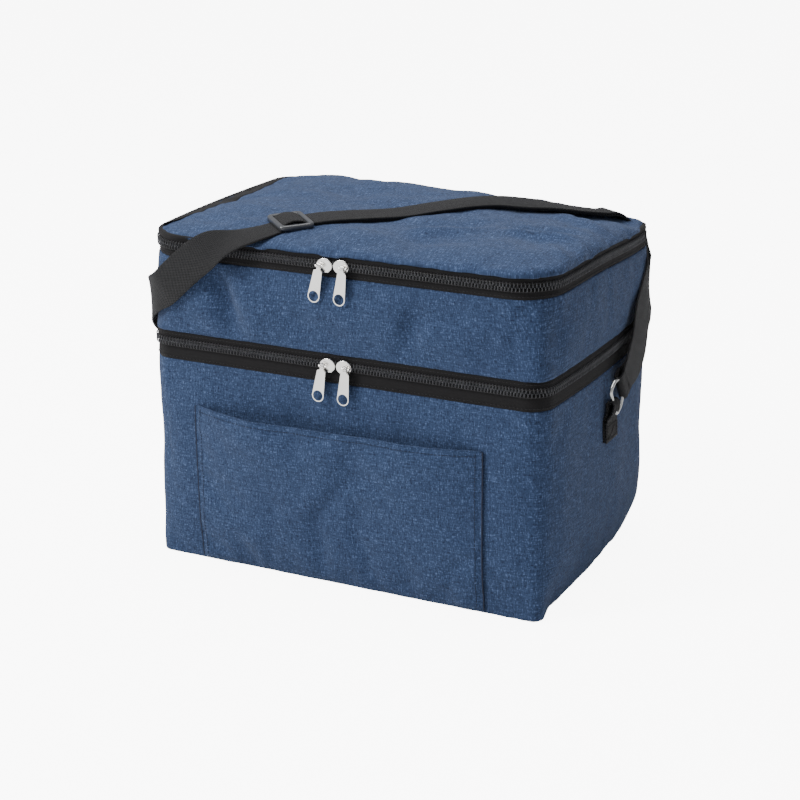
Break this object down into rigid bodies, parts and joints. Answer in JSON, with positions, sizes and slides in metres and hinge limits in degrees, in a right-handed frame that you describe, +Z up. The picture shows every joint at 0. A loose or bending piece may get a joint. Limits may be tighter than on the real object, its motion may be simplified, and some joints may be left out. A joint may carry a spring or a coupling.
{
  "type": "insulated cooler bag",
  "caption": "Soft insulated box bag with two zipped compartments hinged at the back, a front slip pocket, side rings and a webbing carry strap lying over the lid.",
  "frame": {"origin": "centre of the base, on the surface the bag stands on", "axes": "+X to the right seen from the front, the front (pocket side) faces -Y, +Z up"},
  "size_m": [0.3908, 0.2477, 0.2943],
  "materials": {
    "melange_fabric": "heathered woven polyester, matt",
    "board": "hollow board, matt",
    "foam": "closed-cell foam, matt",
    "foil": "metallised film, satin",
    "zip_tape": "woven tape, matt",
    "zip_coil": "nylon coil, satin",
    "nickel": "bright nickel plate",
    "ring_steel": "nickel plate",
    "webbing": "ribbed polypropylene webbing",
    "buckle": "moulded, semi-gloss",
    "thread": "sewing thread"
  },
  "bodies": {
    "lower": {"lower_shell": "melange_fabric", "base_panel": "melange_fabric", "base_board": "board", "base_foam": "foam", "lower_foam": "foam", "lower_liner": "foil", "front_pocket": "melange_fabric", "pocket_hem": "melange_fabric", "main_zip_lower_tape": "zip_tape", "main_zip_lower_chain": "zip_coil", "main_zip_stops": "zip_tape", "main_hinge_strip": "zip_tape", "side_tab_left": "webbing", "side_tab_right": "webbing", "tab_stitching": "thread"},
    "upper": {"upper_shell": "melange_fabric", "upper_foam": "foam", "divider_facing": "foil", "divider_foam": "foam", "upper_liner": "foil", "main_zip_upper_tape": "zip_tape", "main_zip_upper_chain": "zip_coil", "top_zip_lower_tape": "zip_tape", "top_zip_lower_chain": "zip_coil", "top_zip_stops": "zip_tape", "lid_hinge_strip": "zip_tape"},
    "lid": {"lid_panel": "melange_fabric", "lid_foam": "foam", "lid_liner": "foil", "top_zip_upper_tape": "zip_tape", "top_zip_upper_chain": "zip_coil"},
    "main_slider_left": {"main_slider_left": "nickel"},
    "main_slider_right": {"main_slider_right": "nickel"},
    "top_slider_left": {"top_slider_left": "nickel"},
    "top_slider_right": {"top_slider_right": "nickel"},
    "main_pull_left": {"main_pull_left": "nickel"},
    "main_pull_right": {"main_pull_right": "nickel"},
    "top_pull_left": {"top_pull_left": "nickel"},
    "top_pull_right": {"top_pull_right": "nickel"},
    "strap": {"strap_webbing": "webbing", "strap_loop_left": "webbing", "strap_loop_right": "webbing", "strap_adjuster": "buckle", "strap_ring_left": "ring_steel", "strap_ring_right": "ring_steel"}
  },
  "joints": [
    {"name": "carry_strap_swing", "type": "hinge", "parent": "lower", "child": "strap", "pos_m": [0, 0.002, 0.148], "axis": [1, 0, 0], "range_deg": [-80, 88], "deforming": ["strap_webbing", "strap_loop_left", "strap_loop_right", "strap_adjuster"]},
    {"name": "compartment_hinge", "type": "hinge", "parent": "lower", "child": "upper", "pos_m": [0, 0.111, 0.18455], "axis": [-1, 0, 0], "range_deg": [0, 110], "deforming": ["main_hinge_strip"]},
    {"name": "lid_hinge", "type": "hinge", "parent": "upper", "child": "lid", "pos_m": [0, 0.111, 0.26775], "axis": [-1, 0, 0], "range_deg": [0, 110], "deforming": ["lid_hinge_strip"]},
    {"name": "main_slide_left", "type": "slide", "parent": "lower", "child": "main_slider_left", "axis": [-1, 0, 0], "range_m": [0, 0.138]},
    {"name": "main_slide_right", "type": "slide", "parent": "lower", "child": "main_slider_right", "axis": [1, 0, 0], "range_m": [0, 0.139]},
    {"name": "top_slide_left", "type": "slide", "parent": "upper", "child": "top_slider_left", "axis": [-1, 0, 0], "range_m": [0, 0.124]},
    {"name": "top_slide_right", "type": "slide", "parent": "upper", "child": "top_slider_right", "axis": [1, 0, 0], "range_m": [0, 0.126]},
    {"name": "main_pull_left_swing", "type": "hinge", "parent": "main_slider_left", "child": "main_pull_left", "pos_m": [-0.0108, -0.11615, 0.1876], "axis": [-1, 0, 0], "range_deg": [0, 150]},
    {"name": "main_pull_right_swing", "type": "hinge", "parent": "main_slider_right", "child": "main_pull_right", "pos_m": [0.0098, -0.11615, 0.1876], "axis": [-1, 0, 0], "range_deg": [0, 150]},
    {"name": "top_pull_left_swing", "type": "hinge", "parent": "top_slider_left", "child": "top_pull_left", "pos_m": [-0.0113, -0.11615, 0.2688], "axis": [-1, 0, 0], "range_deg": [0, 150]},
    {"name": "top_pull_right_swing", "type": "hinge", "parent": "top_slider_right", "child": "top_pull_right", "pos_m": [0.0093, -0.11615, 0.2688], "axis": [-1, 0, 0], "range_deg": [0, 150]}
  ]
}
